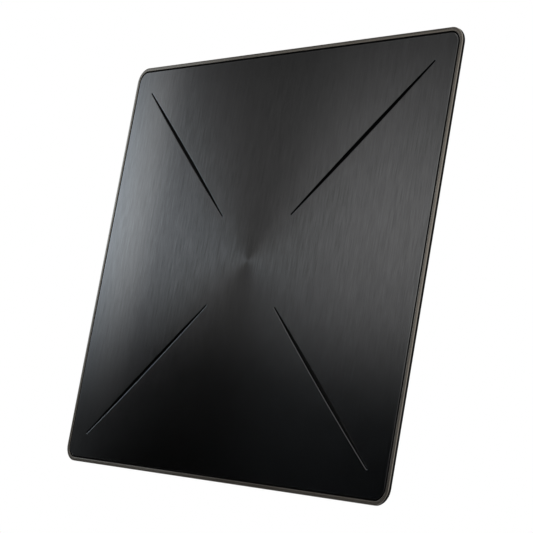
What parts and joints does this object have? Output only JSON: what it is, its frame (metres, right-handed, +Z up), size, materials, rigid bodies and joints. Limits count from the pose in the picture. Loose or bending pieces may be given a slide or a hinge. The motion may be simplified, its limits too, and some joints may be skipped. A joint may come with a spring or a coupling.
{
  "type": "indoor tv antenna",
  "caption": "Flat indoor television antenna: thin brushed dark panel with slim trim and diagonal spindle slots, hung on a wall by rear keyholes, fed through a screw-on coaxial jack.",
  "frame": {"origin": "between the centres of the two keyhole entries, on the flat rear face of the cover that hangs against the wall", "axes": "+Z up as it hangs, +X to the right seen from the front, the brushed face looks along -Y and the wall is on the +Y side"},
  "size_m": [0.33, 0.0208, 0.299],
  "materials": {
    "front_plate": "dark gunmetal film with a fine brushed grain on a moulded plate",
    "trim_frame": "satin bronze-grey lacquer",
    "plate_tape": "double-sided foam tape",
    "housing": "black moulded plastic with a fine texture",
    "carrier_sheet": "milky plastic sheet",
    "element_metal": "stamped sheet",
    "circuit_board": "green solder resist on glass-fibre board",
    "ferrite": "dull sintered ferrite",
    "winding_wire": "enamelled copper wire",
    "chip_parts": "small ceramic parts",
    "rivet_metal": "tinned brass",
    "screw_steel": "black zinc-plated steel",
    "jack_metal": "bright nickel plate",
    "jack_insulator": "white plastic",
    "jack_contact": "gilt spring contact",
    "wall_pads": "soft dark rubber"
  },
  "bodies": {
    "root": {"front_plate": "front_plate", "trim_frame": "trim_frame", "plate_tape": "plate_tape", "front_chassis": "housing", "rear_cover": "housing", "element_carrier": "carrier_sheet", "element_right": "element_metal", "element_left": "element_metal", "balun_board": "circuit_board", "balun_core": "ferrite", "balun_windings": "winding_wire", "matching_chips": "chip_parts", "feed_rivets": "rivet_metal", "board_screws": "screw_steel", "coax_jack_body": "jack_metal", "coax_jack_insulator": "jack_insulator", "coax_jack_contact": "jack_contact", "coax_jack_washer": "jack_metal", "coax_jack_nut": "jack_metal", "housing_screws": "screw_steel", "wall_pads": "wall_pads"}
  },
  "joints": []
}
